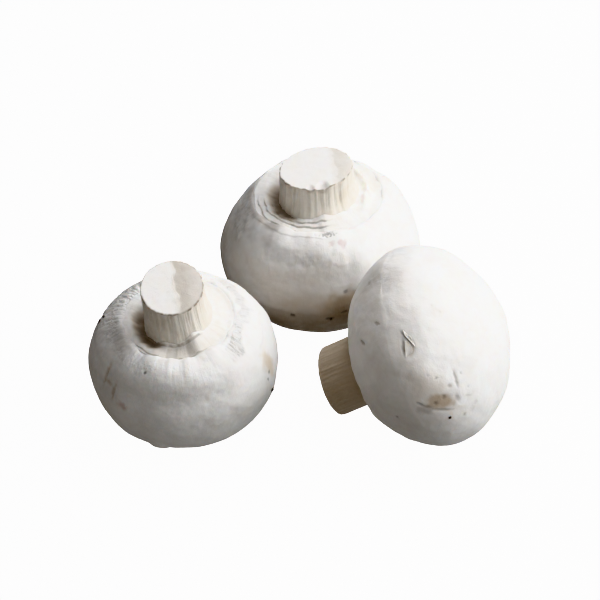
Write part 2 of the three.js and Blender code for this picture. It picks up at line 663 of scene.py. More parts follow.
@dataclass(frozen=True)
class Outline:
    """The sizes that one mushroom's cap, stem and veil share, in millimetres."""

    radius: float
    crown: float
    margin: float
    crown_fullness: float
    margin_fullness: float
    lip: float
    mouth: float
    sunk: float
    skirt: float
    top_radius: float
    foot_radius: float
    top: float
    bend: Tuple[float, float]
    cut_slope: Tuple[float, float]
    lean: float
    heading: float
    lobes: Tuple[Tuple[int, float, float], ...] = ()

    @property
    def veil_top(self) -> float:
        """Height of the veil's outer edge."""
        return self.margin - self.sunk

    @property
    def socket_floor(self) -> float:
        """Height below which nothing bends."""
        return self.veil_top - VEIL_THICKNESS - SOCKET_DEPTH

    def cap_ring(self, reach: np.ndarray) -> Tuple[np.ndarray, np.ndarray]:
        """Gives the profile of the cap's outer skin.

        Args:
            reach: places from 0, the middle of the crown, to 2, the lip's ridge.

        Returns:
            The radius and the height of each place.
        """
        low = np.minimum(reach, 1.0) * math.pi / 2
        high = np.clip(reach - 1.0, 0.0, 1.0) * math.pi / 2
        crown_power, margin_power = 2 / self.crown_fullness, 2 / self.margin_fullness
        crown_r = self.radius * np.sin(low) ** crown_power
        margin_r = self.lip + (self.radius - self.lip) * np.abs(np.cos(high)) ** margin_power
        crown_z = -self.crown * np.abs(np.cos(low)) ** crown_power
        margin_z = self.margin * np.sin(high) ** margin_power
        return np.where(reach <= 1, crown_r, margin_r), np.where(reach <= 1, crown_z, margin_z)

    def stem_radius(self, z: np.ndarray) -> np.ndarray:
        """Gives the stem's radius.

        Args:
            z: heights.

        Returns:
            The radius at each height.
        """
        rise = np.clip((z - self.veil_top) / (self.top - self.veil_top), 0.0, 1.0)
        return self.top_radius + (self.foot_radius - self.top_radius) * (1 - rise) ** FOOT_FLARE

    def grow(self, points: np.ndarray) -> np.ndarray:
        """Bends and lobes round shapes as the mushroom grew.

        Args:
            points: places in the mushroom's own frame.

        Returns:
            The places moved.
        """
        turns = np.arctan2(points[..., 1], points[..., 0])
        widen = np.ones_like(turns)
        for count, amount, angle in self.lobes:
            widen += amount * np.cos(count * (turns - math.radians(angle)))
        rise = np.maximum(0.0, points[..., 2] - self.socket_floor)
        x = points[..., 0] * widen + self.bend[0] * rise
        y = points[..., 1] * widen + self.bend[1] * rise
        return np.stack([x, y, points[..., 2]], -1)

    def tilt(self) -> np.ndarray:
        """Gives the turn from upright to how the mushroom lies.

        Returns:
            A rotation matrix.
        """
        heading, lean = math.radians(self.heading), math.radians(self.lean)
        x, y = -math.sin(heading), math.cos(heading)
        cross = np.array([[0, 0, y], [0, 0, -x], [-y, x, 0]])
        return np.eye(3) + math.sin(lean) * cross + (1 - math.cos(lean)) * cross @ cross


def spin(radii: np.ndarray, heights: np.ndarray, columns: int) -> np.ndarray:
    """Turns a profile round the z axis.

    Args:
        radii: the profile's distances from the axis.
        heights: its heights.
        columns: how many points each ring has.

    Returns:
        Points, by ring and by column.
    """
    turns = np.linspace(0.0, TURN, columns, endpoint=False)
    x = radii[:, None] * np.cos(turns)
    y = radii[:, None] * np.sin(turns)
    return np.stack([x, y, np.repeat(heights[:, None], columns, 1)], -1)


class RoundGrid:
    """Rings of points round a stem that make one closed skin, with what each point knows about itself."""

    POLE = 0.02
    GRAIN_RADIUS = 25.0
    FINEST_EDGE = 0.4
    MARK_DEPTH = 2.0
    STAIN_GRAIN = 7.0
    STAIN_WANDER = 0.10

    def __init__(self, points: np.ndarray, reach: np.ndarray, looped: bool = False) -> None:
        """Starts a plain skin.

        Args:
            points: places by ring and by column, in millimetres.
            reach: where each ring is, to place marks by.
            looped: whether the last ring joins the first one, instead of both closing on the axis.
        """
        self.points = points
        self.reach = reach
        self.looped = looped
        rings, columns = points.shape[:2]
        self.turns = np.linspace(0.0, TURN, columns, endpoint=False)
        self.colour = np.zeros((rings, columns, 3))
        self.strength = np.zeros((rings, columns))
        self.shag = np.zeros((rings, columns))
        self.cut = np.zeros((rings, columns))
        self.silk = np.ones((rings, columns))
        length = np.concatenate([[0.0], np.cumsum(np.linalg.norm(np.diff(points[:, 0], axis=0), axis=-1))])
        around = np.broadcast_to(self.turns, (rings, columns))
        along = np.repeat(length[:, None], columns, 1)
        x, y = self.GRAIN_RADIUS * np.cos(around), self.GRAIN_RADIUS * np.sin(around)
        self.grain = np.stack([x, y, along], -1)

    def normals(self) -> np.ndarray:
        """Gives the outward directions.

        Returns:
            A unit vector for each point.
        """
        around = np.roll(self.points, -1, 1) - np.roll(self.points, 1, 1)
        if self.looped:
            along = np.roll(self.points, -1, 0) - np.roll(self.points, 1, 0)
        else:
            along = np.gradient(self.points, axis=0)
        return unit(np.cross(around, along))

    def push(self, distance: np.ndarray) -> None:
        """Moves the skin outward.

        Args:
            distance: how far, in millimetres, for each point.
        """
        self.points = self.points + self.normals() * distance[..., None]

    def paint(self, tone: Tone, share: np.ndarray) -> None:
        """Lays a colour over what is there.

        Args:
            tone: the colour.
            share: how much of it, for each point.
        """
        share = np.clip(share, 0.0, 1.0)
        before = self.strength * (1 - share)
        self.strength = before + share
        weight = share / np.maximum(self.strength, 1e-6)
        self.colour = self.colour * (1 - weight[..., None]) + np.array(tone.value) * weight[..., None]

    def lift(self, height: np.ndarray) -> None:
        """Moves the skin along the stem's axis.

        Args:
            height: how far, in millimetres, for each point.
        """
        self.points = self.points + np.stack([0 * height, 0 * height, height], -1)

    def nearest(self, turn: float, reach: float) -> Tuple[int, int]:
        """Finds the point of the grid that is nearest to a place.

        Args:
            turn: degrees round the stem.
            reach: how far along.

        Returns:
            Its ring and its column.
        """
        column = int(round(turn / 360 * len(self.turns))) % len(self.turns)
        return int(np.argmin(np.abs(self.reach - reach))), column

    def mark(self, mark: Mark, noise: GradientNoise) -> np.ndarray:
        """Makes one mark.

        Args:
            mark: the mark.
            noise: what makes its edge uneven.

        Returns:
            How far the mark moves each point outward, in millimetres.
        """
        ring, column = self.nearest(mark.turn, mark.reach)
        around = self.points[ring, (column + 1) % len(self.turns)] - self.points[ring, column - 1]
        along = self.points[min(ring + 1, len(self.reach) - 1), column] - self.points[ring - 1, column]
        around /= np.linalg.norm(around)
        along -= around * (along @ around)
        along /= np.linalg.norm(along)
        offset = self.points - self.points[ring, column]
        a, b = offset @ around, offset @ along
        level = np.abs(offset @ np.cross(around, along))
        twist = math.radians(mark.twist)
        a, b = a * math.cos(twist) + b * math.sin(twist), b * math.cos(twist) - a * math.sin(twist)
        uneven = noise.layers(self.points / max(min(mark.wide, mark.long), self.FINEST_EDGE), 2)
        away = np.hypot(a / mark.wide, b / mark.long) + mark.ragged * uneven
        share = ease(1 + mark.soft / 2, 1 - mark.soft / 2, away)
        share = share * (level < self.MARK_DEPTH + max(mark.wide, mark.long))
        self.paint(mark.tone, share * mark.strength)
        self.shag = np.maximum(self.shag, share * mark.shag)
        return -mark.depth * share

    def stain(self, stain: Stain, noise: GradientNoise) -> None:
        """Tints part of a ring.

        Args:
            stain: the tint.
            noise: what makes its edges wander.
        """
        wander = noise.layers(self.points / self.STAIN_GRAIN + 25, 3, 0.6)
        reach = self.reach[:, None] + self.STAIN_WANDER * wander
        inside = ease(stain.low - stain.fade, stain.low, reach)
        inside = inside * ease(stain.high + stain.fade, stain.high, reach)
        share = inside * window(self.turns, stain.middle, stain.half, stain.side_fade)
        self.paint(stain.tone, share * stain.strength * (0.85 + 0.3 * wander))
        self.shag = np.maximum(self.shag, share * stain.shag)

    def place_of(self, turn: float, reach: float) -> Tuple[np.ndarray, np.ndarray]:
        """Finds a place on the skin.

        Args:
            turn: degrees round the stem.
            reach: how far along.

        Returns:
            The point and its outward direction.
        """
        spot = self.nearest(turn, reach)
        return self.points[spot], self.normals()[spot]

    def faces(self) -> Tuple[np.ndarray, np.ndarray]:
        """Lists the faces.

        Returns:
            The corners of the four-sided faces and of the three-sided ones at the poles.
        """
        rings, columns = self.points.shape[:2]
        index = np.arange(rings * columns).reshape(rings, columns)
        if self.looped:
            index = np.concatenate([index, index[:1]])
        ahead = np.roll(index, -1, 1)
        quads = np.stack([index[:-1], ahead[:-1], ahead[1:], index[1:]], -1).reshape(-1, 4)
        if self.looped:
            return quads, np.zeros((0, 3), int)
        first = np.stack([ahead[0], index[0], np.full(columns, rings * columns)], -1)
        last = np.stack([index[-1], ahead[-1], np.full(columns, rings * columns + 1)], -1)
        return quads, np.concatenate([first, last])

    def with_poles(self, values: np.ndarray) -> np.ndarray:
        """Flattens values by point, adding the poles' own.

        Args:
            values: one row for each point, by ring and by column.

        Returns:
            One row for each vertex.
        """
        flat = values.reshape(-1, *values.shape[2:])
        if self.looped:
            return flat
        return np.concatenate([flat, values[:1].mean(1), values[-1:].mean(1)])


@dataclass(frozen=True)
class Placement:
    """Where a mushroom lies: a turn and then a move, in millimetres."""

    turn: np.ndarray
    move: np.ndarray

    def to_table(self, points: np.ndarray) -> np.ndarray:
        """Takes places from a mushroom's own frame to the table's.

        Args:
            points: places in millimetres.

        Returns:
            Places in metres, none of them below the table.
        """
        placed = points @ self.turn.T + self.move
        placed[..., 2] = np.maximum(placed[..., 2], 0.0)
        return placed * MM


def make_piece(
    name: str, points: np.ndarray, faces: Sequence[np.ndarray], traits: Dict[str, np.ndarray]
) -> bpy.types.Object:
    """Makes an object from arrays.

    Args:
        name: the piece's name.
        points: its vertices, in metres.
        faces: arrays of faces with equal numbers of corners.
        traits: values for each vertex, by attribute name: 1, 3 or 4 numbers each.

    Returns:
        The object, smooth and in the scene.
    """
    mesh = bpy.data.meshes.new(name)
    corners = np.concatenate([group.ravel() for group in faces])
    counts = np.concatenate([np.full(len(group), group.shape[1]) for group in faces])
    mesh.vertices.add(len(points))
    mesh.vertices.foreach_set("co", points.astype(np.float32).ravel())
    mesh.loops.add(len(corners))
    mesh.loops.foreach_set("vertex_index", corners.astype(np.int32))
    mesh.polygons.add(len(counts))
    starts = np.concatenate([[0], np.cumsum(counts)[:-1]])
    mesh.polygons.foreach_set("loop_start", starts.astype(np.int32))
    mesh.update(calc_edges=True)
    mesh.validate()
    mesh.shade_smooth()
    kinds = {1: ("FLOAT", "value"), 3: ("FLOAT_VECTOR", "vector"), 4: ("FLOAT_COLOR", "color")}
    for trait, values in traits.items():
        kind, key = kinds[1 if values.ndim == 1 else values.shape[1]]
        layer = mesh.attributes.new(trait, kind, "POINT")
        layer.data.foreach_set(key, values.astype(np.float32).ravel())
    piece = bpy.data.objects.new(name, mesh)
    bpy.context.scene.collection.objects.link(piece)
    return piece


def join(shapes: Sequence[Tuple[np.ndarray, np.ndarray]]) -> Tuple[np.ndarray, np.ndarray]:
    """Joins shapes into one list of points and one of faces.

    Args:
        shapes: the points and the faces of each shape.

    Returns:
        All the points and all the faces.
    """
    starts = np.cumsum([0] + [len(points) for points, _ in shapes])
    faces = [sides + start for (_, sides), start in zip(shapes, starts)]
    return np.concatenate([points for points, _ in shapes]), np.concatenate(faces)


def settle(piece: bpy.types.Object, finish: bpy.types.Material) -> None:
    """Gives a piece its finish and its body.

    Args:
        piece: the piece.
        finish: its material.
    """
    piece.data.materials.append(finish)
    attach(piece, BODY)
    LOG.info("%s: %d faces, finish %s", piece.name, len(piece.data.polygons), finish.name)


def grid_piece(name: str, grid: RoundGrid, placement: Placement) -> bpy.types.Object:
    """Makes the object of a grid.

    Args:
        name: the piece's name.
        grid: its skin.
        placement: where its mushroom lies.

    Returns:
        The object.
    """
    traits = {
        "grain": grid.with_poles(grid.grain),
        "paint": grid.with_poles(np.concatenate([grid.colour, grid.strength[..., None]], -1)),
        "shag": grid.with_poles(grid.shag),
        "cut": grid.with_poles(grid.cut),
        "silk": grid.with_poles(grid.silk),
    }
    return make_piece(name, placement.to_table(grid.with_poles(grid.points)), grid.faces(), traits)


# --- Sub-assemblies ---


@dataclass
class Cap:
    """A cap: crown, inrolled margin, lip, and the mouth that the veil closes."""

    outline: Outline
    seed: int
    lump: float = 0.5
    silk: float = 0.05
    marks: Sequence[Mark] = ()
    tears: Sequence[Tear] = ()
    stains: Sequence[Stain] = ()
    grid: RoundGrid = field(init=False)

    SMALL_LUMP = 0.10
    TEXTURE = 0.035
    WAVE = 0.45
    RIPPLE = 0.05

    def plain(self) -> RoundGrid:
        """Makes the cap with no marks.

        Returns:
            Its skin.
        """
        line = self.outline
        reach = np.concatenate([
            np.linspace(0.004, 1.0, CROWN_RINGS),
            np.linspace(1.0, 2.0, MARGIN_RINGS)[1:],
        ])
        radii, heights = line.cap_ring(reach)
        roll = np.linspace(0.0, math.pi / 2, LIP_RINGS)[1:]
        roll_r = line.lip - (line.lip - line.mouth) * np.sin(roll)
        roll_z = line.margin - LIP_DROP * line.sunk * (1 - np.cos(roll))
        floor = line.margin - MOUTH_DEPTH
        wall = np.linspace(roll_z[-1], floor, MOUTH_RINGS)[1:]
        inward = np.linspace(line.mouth, RoundGrid.POLE, MOUTH_RINGS)[1:]
        radii = np.concatenate([radii, roll_r, np.full(len(wall), line.mouth), inward])
        heights = np.concatenate([heights, roll_z, wall, np.full(len(inward), floor)])
        inside = len(roll) + len(wall) + len(inward)
        reach = np.concatenate([reach, 2.0 + np.arange(1, inside + 1) / len(roll)])
        return RoundGrid(line.grow(spin(radii, heights, COLUMNS)), reach)

    def build(self) -> None:
        """Grows the cap's own unevenness, silk, torn skin and marks."""
        grid = self.plain()
        noise = GradientNoise(self.seed)
        reach = grid.reach[:, None]
        outside = ease(3.4, 2.6, reach)
        lumps = noise.layers(grid.points / 15, 2) * self.lump
        lumps = lumps + noise.layers(grid.points / 5 + 40, 2) * self.SMALL_LUMP
        near_axis = ease(0.0, 0.25, reach)
        lip = ease(1.6, 2.0, reach) * outside
        wave = noise.at(grid.grain * [0.17, 0.17, 0.0] + 9) * self.WAVE
        wave = wave + noise.at(grid.grain * [0.5, 0.5, 0.05]) * self.RIPPLE
        shift = lumps * outside + wave * lip
        fibres = noise.layers(grid.grain * [1.1, 1.1, 0.11], 3, 0.6)
        combed = (0.15 + 0.85 * ease(1.25, 1.85, reach)) * near_axis * outside
        grid.silk = combed * np.ones_like(shift)
        shift += fibres * self.silk * combed
        shift += noise.layers(grid.points / 2.2 + 15, 3, 0.6) * self.TEXTURE * outside
        for stain in self.stains:
            grid.stain(stain, noise)
        for mark in self.marks:
            shift += grid.mark(mark, noise)
        for tear in self.tears:
            shift += self.tear_skin(grid, tear, noise)
        shift += self.flakes(grid, noise)
        grid.push(shift)
        self.grid = grid

    def tear_skin(self, grid: RoundGrid, tear: Tear, noise: GradientNoise) -> np.ndarray:
        """Raises the edge of a torn skin.

        Args:
            grid: the cap's skin.
            tear: the tear.
            noise: what makes its line stray.

        Returns:
            How far each point moves outward.
        """
        stray = noise.layers(grid.grain * [0.14, 0.14, 0.0] + 60 + tear.reach, 3, 0.5)
        beyond = grid.reach[:, None] - tear.reach - tear.wander * stray
        here = window(grid.turns, tear.middle, tear.half, 12.0)
        raised = ease(-0.008, 0.012, beyond) * ease(tear.fade, 0.02, beyond)
        edge = ease(-0.03, 0.0, beyond) * ease(0.02, 0.0, beyond)
        inner = ease(-0.22, -0.02, beyond) * ease(0.01, -0.01, beyond)
        # painted shade: a grey line along the foot of the raised edge, and a grey tint on the lower inner
        # side
        grid.paint(Tone.GREY, (0.18 * edge + tear.inner_grey * inner) * here)
        return tear.height * raised * here

    def skin_at(self, turn: np.ndarray, reach: np.ndarray) -> Tuple[np.ndarray, np.ndarray]:
        """Finds places on the finished skin, between its points.

        Args:
            turn: degrees round the stem.
            reach: places along.

        Returns:
            The points and the outward directions.
        """
        rings = np.interp(reach, self.grid.reach, np.arange(len(self.grid.reach)))
        columns = turn / 360 * len(self.grid.turns)
        ring, column = np.floor(rings).astype(int), np.floor(columns).astype(int)
        down, side = (rings - ring)[..., None], (columns - column)[..., None]
        ahead = (column + 1) % len(self.grid.turns)
        column %= len(self.grid.turns)
        found = []
        for field_of in (self.grid.points, self.grid.normals()):
            near = field_of[ring, column] * (1 - side) + field_of[ring, ahead] * side
            far = field_of[ring + 1, column] * (1 - side) + field_of[ring + 1, ahead] * side
            found.append(near * (1 - down) + far * down)
        return found[0], unit(found[1])

    @staticmethod
    def flakes(grid: RoundGrid, noise: GradientNoise) -> np.ndarray:
        """Lifts flakes of skin where the cap is flaky.

        Args:
            grid: the cap's skin.
            noise: what sets where the flakes are.

        Returns:
            How far each point moves outward.
        """
        scales = noise.layers(grid.grain * [0.75, 0.75, 0.3] + 80, 3, 0.6)
        threads = np.abs(noise.layers(grid.grain * [1.6, 1.6, 0.25] + 30, 3, 0.6))
        return grid.shag * (0.22 * ease(-0.05, 0.10, scales) - 0.16 * threads)

    def dress(self, name: str, placement: Placement, finish: bpy.types.Material) -> None:
        """Puts the cap in the scene.

        Args:
            name: the mushroom's name.
            placement: where it lies.
            finish: the skin's material.
        """
        piece = grid_piece(f"{name}_cap_skin", self.grid, placement)
        settle(piece, finish)
        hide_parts(f"{name}_cap")


@dataclass(frozen=True)
class Facet:
    """A second stroke of the knife: beyond a line across the cut end, the face falls away and is painted
    darker as shade.
    """

    heading: float
    offset: float
    fall: float
    tone: Tone = Tone.TAN
    strength: float = 0.3


@dataclass
class Stem:
    """A stem: a fluted flank, a foot inside the cap, and an end cut with a knife."""

    outline: Outline
    seed: int
    flute: float = 0.12
    facets: Sequence[Facet] = ()
    marks: Sequence[Mark] = ()
    nicks: Sequence[Mark] = ()
    flare: Sequence[Tuple[float, float, float]] = ()
    grid: RoundGrid = field(init=False)

    UNDER_RINGS = 5
    FOOT_INSET, FOOT_ROUND = 0.6, 0.5
    RIM_INSET, RIM_DROP = 0.14, 0.18

    def build(self) -> None:
        """Makes the stem: reach 0 is the veil, 1 the rim of the cut and 2 the middle of the cut."""
        line = self.outline
        noise = GradientNoise(self.seed)
        foot = line.margin - MOUTH_DEPTH - FOOT_DEPTH
        under = np.linspace(RoundGrid.POLE, line.foot_radius - self.FOOT_INSET, self.UNDER_RINGS)
        flank = np.linspace(foot + self.FOOT_ROUND, line.top - self.RIM_DROP, FLANK_RINGS)
        flank_r = line.stem_radius(flank)
        face_r = np.linspace(line.top_radius - self.RIM_INSET, RoundGrid.POLE, FACE_RINGS)
        radii = np.concatenate([under, flank_r, face_r])
        heights = np.concatenate([np.full(len(under), foot), flank, np.full(len(face_r), line.top)])
        rise = (flank - line.veil_top) / (line.top - line.veil_top)
        reach = np.concatenate([np.full(len(under), -2.0), rise, 1 + np.linspace(0.02, 1, len(face_r))])
        grid = RoundGrid(spin(radii, heights, STEM_COLUMNS), reach)
        on_face = (np.arange(len(reach)) >= len(under) + len(flank))[:, None]

        grain = grid.grain * [0.32, 0.32, 0.03]
        flutes = noise.layers(grain, 4, 0.55) * self.flute
        flutes += noise.layers(grid.grain * [1.2, 1.2, 0.08] + 20, 2) * 0.025
        share = np.clip(np.linalg.norm(grid.points[..., :2], axis=-1) / line.top_radius, 0, 1)
        rim_flutes = np.broadcast_to(flutes[len(under) + len(flank) - 1], flutes.shape)
        swell = np.where(on_face, rim_flutes * share ** 3, flutes)
        for middle, half, size in self.flare:
            low = ease(0.75, 0.0, grid.reach)[:, None] ** 1.6
            swell = swell + np.where(on_face, 0.0, size * low * window(grid.turns, middle, half, 35.0))
        grid.points = grid.points + unit(grid.points * [1.0, 1.0, 0.0]) * swell[..., None]

        x, y = grid.points[..., 0], grid.points[..., 1]
        top = ease(line.top - 2.5, line.top - 0.2, grid.points[..., 2])
        slope = line.cut_slope[0] * x + line.cut_slope[1] * y
        for facet in self.facets:
            slope = slope + self.carve(grid, facet, noise, on_face)
        saw = noise.layers(np.stack([x * 0.35, y * 0.35, 0 * x], -1) + 70, 3) * 0.035
        drop = np.zeros_like(x)
        for nick in self.nicks:
            drop += grid.mark(nick, noise)
        dip = np.minimum(drop, 0)
        grid.lift(np.where(on_face, slope + saw + dip, slope * top + dip * top))
        grid.cut = np.where(on_face, 1.0, 0.0) * np.ones_like(x)
        self.oxidise(grid, noise, on_face)

        shift = np.zeros_like(x)
        for mark in self.marks:
            shift += grid.mark(mark, noise)
        grid.push(shift)
        grid.points = line.grow(grid.points)
        self.grid = grid

    def carve(
        self, grid: RoundGrid, facet: Facet, noise: GradientNoise, on_face: np.ndarray
    ) -> np.ndarray:
        """Cuts one more facet into the end.

        Args:
            grid: the stem's skin.
            facet: the facet.
            noise: what makes its crease stray.
            on_face: which rings are on the cut end.

        Returns:
            How far each point rises; it is below 0 on the facet.
        """
        heading = math.radians(facet.heading)
        x, y = grid.points[..., 0], grid.points[..., 1]
        stray = noise.layers(np.stack([x * 0.28, y * 0.28, 0 * x], -1) + 55, 2, 0.5) * 0.9
        beyond = x * math.cos(heading) + y * math.sin(heading) - facet.offset + stray
        # painted shade: beyond the crease the cut end is painted darker, as for a face turned from the light
        shade = ease(-1.4, 1.0, beyond) * (0.35 + 0.65 * ease(8.0, 1.0, beyond)) * facet.strength
        grid.paint(facet.tone, np.where(on_face, shade, 0.0))
        return -facet.fall * np.maximum(beyond, 0.0) - 0.05 * ease(-0.3, 0.3, beyond)

    @staticmethod
    def oxidise(grid: RoundGrid, noise: GradientNoise, on_face: np.ndarray) -> None:
        """Browns the rim of the cut, as air does.

        Args:
            grid: the stem's skin.
            noise: what makes the browning uneven.
            on_face: which rings are on the cut end.
        """
        rim = np.linalg.norm(grid.points[..., :2], axis=-1)
        edge = rim.max(axis=1)[int(np.argmax(on_face[:, 0]))]
        near = np.where(on_face, ease(edge - 0.5, edge - 0.05, rim), ease(0.965, 0.99, grid.reach)[:, None])
        patchy = ease(-0.35, 0.4, noise.layers(grid.grain * [0.22, 0.22, 0.0] + 33, 2))
        grid.paint(Tone.BRUISE_AND_SHADE, near * (0.25 + 0.75 * patchy) * 0.8)

    def dress(self, name: str, placement: Placement, finish: bpy.types.Material) -> None:
        """Puts the stem in the scene.

        Args:
            name: the mushroom's name.
            placement: where it lies.
            finish: the flesh's material.
        """
        piece = grid_piece(f"{name}_stem_flesh", self.grid, placement)
        settle(piece, finish)
        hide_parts(f"{name}_stem")


@dataclass(frozen=True)
class Pocket:
    """Where the veil has torn open beside the stem: it sinks there, and its hollow is painted tan and then
    dark brown deeper in, as shade; strength is how dark.
    """

    middle: float
    half: float
    depth: float
    start: float = 0.3
    strength: float = 0.9


@dataclass
class Veil:
    """A veil: the torn ring of skin from the lip to the stem."""

    outline: Outline
    seed: int
    skirts: Sequence[Tuple[float, float, float]] = ()
    folds: Sequence[Tuple[float, float, float, float]] = ()
    flush: Sequence[Tuple[float, float, float]] = ()
    pockets: Sequence[Pocket] = ()
    layers: Sequence[Tuple[float, float, float, float]] = ()
    marks: Sequence[Mark] = ()
    ridge: float = 0.045
    grid: RoundGrid = field(init=False)

    def build(self) -> None:
        """Makes the veil: reach 0 is under the lip and 1 inside the stem."""
        line = self.outline
        noise = GradientNoise(self.seed)
        outer, inner = line.mouth + VEIL_TUCK, line.foot_radius - VEIL_OVERLAP
        bottom = line.margin - MOUTH_DEPTH + VEIL_FLOOR
        share = np.linspace(0.0, 1.0, VEIL_RINGS)
        top_r = outer + (inner - outer) * share
        down = np.linspace(line.veil_top, bottom, WALL_RINGS)[1:]
        back = np.linspace(inner, outer, WALL_RINGS)[1:]
        radii = np.concatenate([top_r, np.full(len(down), inner), back, np.full(len(down) - 2, outer)])
        heights = np.concatenate([
            np.full(len(share), line.veil_top), down, np.full(len(back), bottom), down[::-1][1:-1],
        ])
        reach = np.concatenate([share, 1 + np.arange(1, len(radii) - len(share) + 1) * 0.1])
        grid = RoundGrid(spin(radii, heights, STEM_COLUMNS), reach, looped=True)
        along = np.clip(grid.reach, 0.0, 1.0)[:, None]
        on_top = (grid.reach <= 1.0)[:, None] * np.ones_like(grid.points[..., 0])

        lift = line.skirt * along ** 2.4 * 0.6
        for middle, half, rise in self.skirts:
            lift = lift + rise * ease(0.15, 0.95, along) * window(grid.turns, middle, half, 40.0)
        for sizes in self.folds:
            lift = lift + self.fold(grid, along, noise, sizes)
        level = np.zeros_like(grid.points[..., 0])
        for middle, half, share_up in self.flush:
            level = np.maximum(level, share_up * window(grid.turns, middle, half, 30.0))
        lift = lift + level * (line.sunk - 0.15) * ease(1.3, 0.2, along)
        threads = noise.layers(grid.grain * [0.9, 0.9, 0.10], 3, 0.6) * self.ridge
        lift = lift + threads + noise.layers(grid.points / 4 + 12, 2) * 0.18
        for sizes in self.layers:
            lift = lift + self.layer(grid, along, noise, sizes)
        for pocket in self.pockets:
            lift = lift - self.open_pocket(grid, along, noise, pocket)
        for mark in self.marks:
            lift = lift + grid.mark(mark, noise)
        grid.lift(lift * on_top)
        grid.points = line.grow(grid.points)
        self.grid = grid

    @staticmethod
    def fold(
        grid: RoundGrid, along: np.ndarray, noise: GradientNoise, sizes: Tuple[float, float, float, float]
    ) -> np.ndarray:
        """Stands a fold of the veil up.

        Args:
            grid: the veil's skin.
            along: each ring's share of the way to the stem.
            noise: what makes the fold stray.
            sizes: its middle and half width in degrees, its place along and its height.

        Returns:
            How far each point rises.
        """
        middle, half, place, rise = sizes
        stray = noise.layers(grid.grain * [0.12, 0.12, 0.0] + 44, 2) * 0.10
        away = (along - place - stray) / 0.13
        return rise * np.exp(-away ** 2) * window(grid.turns, middle, half, 22.0)

    @staticmethod
    def layer(
        grid: RoundGrid, along: np.ndarray, noise: GradientNoise, sizes: Tuple[float, float, float, float]
    ) -> np.ndarray:
        """Steps the veil up where one torn sheet of it starts, with a painted shadow line at its foot.

        Args:
            grid: the veil's skin.
            along: each ring's share of the way to the stem.
            noise: what makes the step stray.
            sizes: its middle and half width in degrees, its place along and its height.

        Returns:
            How far each point rises.
        """
        middle, half, place, size = sizes
        stray = noise.layers(grid.grain * [0.16, 0.16, 0.0] + 90 * place, 3) * 0.06
        beyond = along - place - stray
        here = window(grid.turns, middle, half, 18.0)
        thin = ease(-0.8, 0.3, noise.at(grid.grain * [0.3, 0.3, 0.0] + 70 * place))
        # painted shadow: a thin dark line at the foot of the step
        grid.paint(Tone.STEP_SHADOW, ease(-0.05, -0.01, beyond) * ease(0.03, 0.0, beyond) * here * 0.5 * thin)
        return size * ease(-0.02, 0.02, beyond) * here

    @staticmethod
    def open_pocket(
        grid: RoundGrid, along: np.ndarray, noise: GradientNoise, pocket: Pocket
    ) -> np.ndarray:
        """Tears the veil open beside the stem.

        Args:
            grid: the veil's skin.
            along: each ring's share of the way to the stem.
            noise: what makes the tear uneven.
            pocket: the torn place.

        Returns:
            How far each point sinks.
        """
        stray = noise.layers(grid.grain * [0.25, 0.25, 0.1] + 5, 3) * 0.06
        inside = ease(pocket.start, pocket.start + 0.5, along + stray)
        share = inside * window(grid.turns, pocket.middle, pocket.half, 30.0)
        gills = np.abs(noise.at(grid.grain * [1.6, 1.6, 0.05] + 3)) * 0.25
        # painted shade: the hollow is painted tan, then dark brown towards its deepest part
        grid.paint(Tone.TAN, ease(0.0, 0.5, share) * 0.6)
        grid.paint(Tone.BRUISE_AND_SHADE, ease(0.3, 1.0, share) * pocket.strength)
        return share * (pocket.depth - gills)

    def dress(self, name: str, placement: Placement, finish: bpy.types.Material) -> None:
        """Puts the veil in the scene.

        Args:
            name: the mushroom's name.
            placement: where it lies.
            finish: the veil's material.
        """
        piece = grid_piece(f"{name}_veil_skin", self.grid, placement)
        settle(piece, finish)
        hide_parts(f"{name}_veil")


@dataclass
class Crumbs:
    """Crumbs of soil that cling to a cap."""

    crumbs: Sequence[Crumb]
    seed: int

    ROUGHNESS = 0.45
    FLATTENING = 0.35
    STANDOFF = 0.12

    def dress(self, name: str, cap: Cap, placement: Placement, finish: bpy.types.Material) -> None:
        """Builds the crumbs where they cling.

        Args:
            name: the mushroom's name.
            cap: the cap that they are on.
            placement: where the mushroom lies.
            finish: the soil's material.
        """
        noise = GradientNoise(self.seed)
        ball, sides = self.unit_ball()
        shapes = []
        for number, crumb in enumerate(self.crumbs):
            place, out = cap.grid.place_of(crumb.turn, crumb.reach)
            rough = 1 + self.ROUGHNESS * noise.layers(ball * 1.3 + 7 * number, 2)
            local = ball * rough[:, None] * crumb.size / 2
            local = local - np.outer(local @ out, out) * self.FLATTENING
            shapes.append((local + place + out * crumb.size * self.STANDOFF, sides))
        points, faces = join(shapes)
        piece = make_piece(f"{name}_peat_crumbs", placement.to_table(points), [faces], {})
        settle(piece, finish)

    @staticmethod
    def unit_ball() -> Tuple[np.ndarray, np.ndarray]:
        """Makes a ball of triangles.

        Returns:
            Its points and its faces.
        """
        shaped = bmesh.new()
        bmesh.ops.create_icosphere(shaped, subdivisions=3, radius=1.0)
        points = np.array([v.co[:] for v in shaped.verts])
        faces = np.array([[v.index for v in f.verts] for f in shaped.faces])
        shaped.free()
        return points, faces


